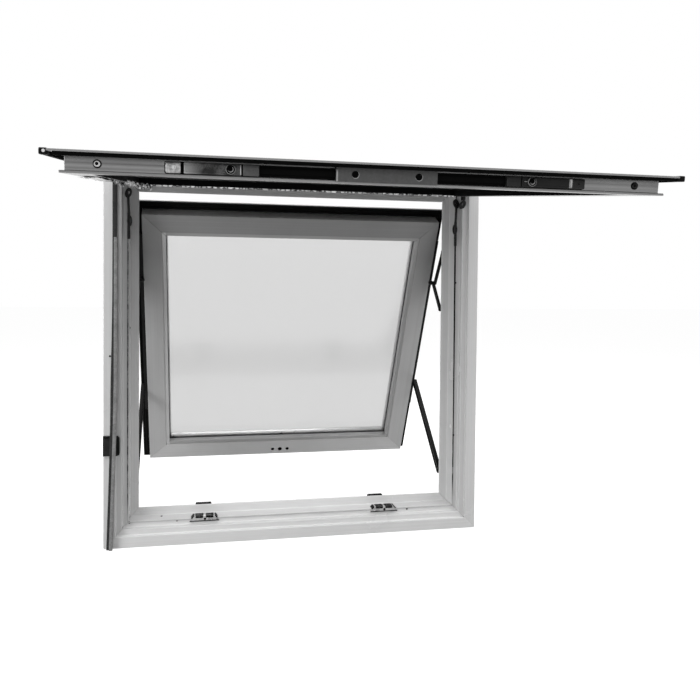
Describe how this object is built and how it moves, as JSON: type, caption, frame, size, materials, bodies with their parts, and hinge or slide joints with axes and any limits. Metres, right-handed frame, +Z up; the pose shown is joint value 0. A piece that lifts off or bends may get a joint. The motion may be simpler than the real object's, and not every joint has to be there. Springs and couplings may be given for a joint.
{
  "type": "top hung awning window",
  "caption": "Top hung awning window with a stepped metal frame, a glass sash swung out on friction stays and an insect screen sash swung up into the room.",
  "frame": {"origin": "middle of the sill's underside", "axes": "+X to the right seen from the room, +Y from the room to the outside, +Z up"},
  "size_m": [0.9, 1.2778, 0.9],
  "materials": {
    "frame_paint": "satin",
    "sash_paint": "satin",
    "screen_aluminium": "brushed",
    "screen_mesh": "matt",
    "black_seal": "matt",
    "glass": "clear",
    "bead_paint": "satin",
    "stay_black": "satin",
    "lock_dark": "satin",
    "lock_bright": "satin",
    "keep_zinc": "satin",
    "rod_grey": "satin",
    "clip_black": "matt"
  },
  "bodies": {
    "root": {"frame_head": "frame_paint", "frame_sill": "frame_paint", "frame_left_jamb": "frame_paint", "frame_right_jamb": "frame_paint", "sash_top_rail": "sash_paint", "sash_bottom_rail": "sash_paint", "sash_left_stile": "sash_paint", "sash_right_stile": "sash_paint", "screen_bottom_rail": "screen_aluminium", "screen_top_rail": "screen_aluminium", "screen_left_stile": "screen_aluminium", "screen_right_stile": "screen_aluminium", "screen_mesh": "screen_mesh", "frame_seal": "black_seal", "screen_seal": "black_seal", "sash_seal": "black_seal", "glass_pane": "glass", "glazing_beads": "bead_paint", "stay_track_left": "stay_black", "stay_track_right": "stay_black", "sash_bar_left": "stay_black", "sash_bar_right": "stay_black", "stay_long_arm_left": "stay_black", "stay_long_arm_right": "stay_black", "stay_short_arm_left": "stay_black", "stay_short_arm_right": "stay_black", "stay_upper_link_left": "stay_black", "stay_upper_link_right": "stay_black", "stay_pins": "stay_black", "screen_hinge_left": "stay_black", "screen_hinge_right": "stay_black", "lock_case_left": "lock_dark", "lock_case_right": "lock_dark", "lock_rods": "lock_dark", "lock_blocks_left": "lock_bright", "lock_blocks_right": "lock_bright", "lock_gear_plate": "lock_bright", "lock_cams": "lock_bright", "sill_keep_left": "keep_zinc", "sill_keep_right": "keep_zinc", "side_rod": "rod_grey", "rod_clip": "clip_black", "outer_keeps": "clip_black", "screen_corner_caps": "clip_black"}
  },
  "joints": []
}
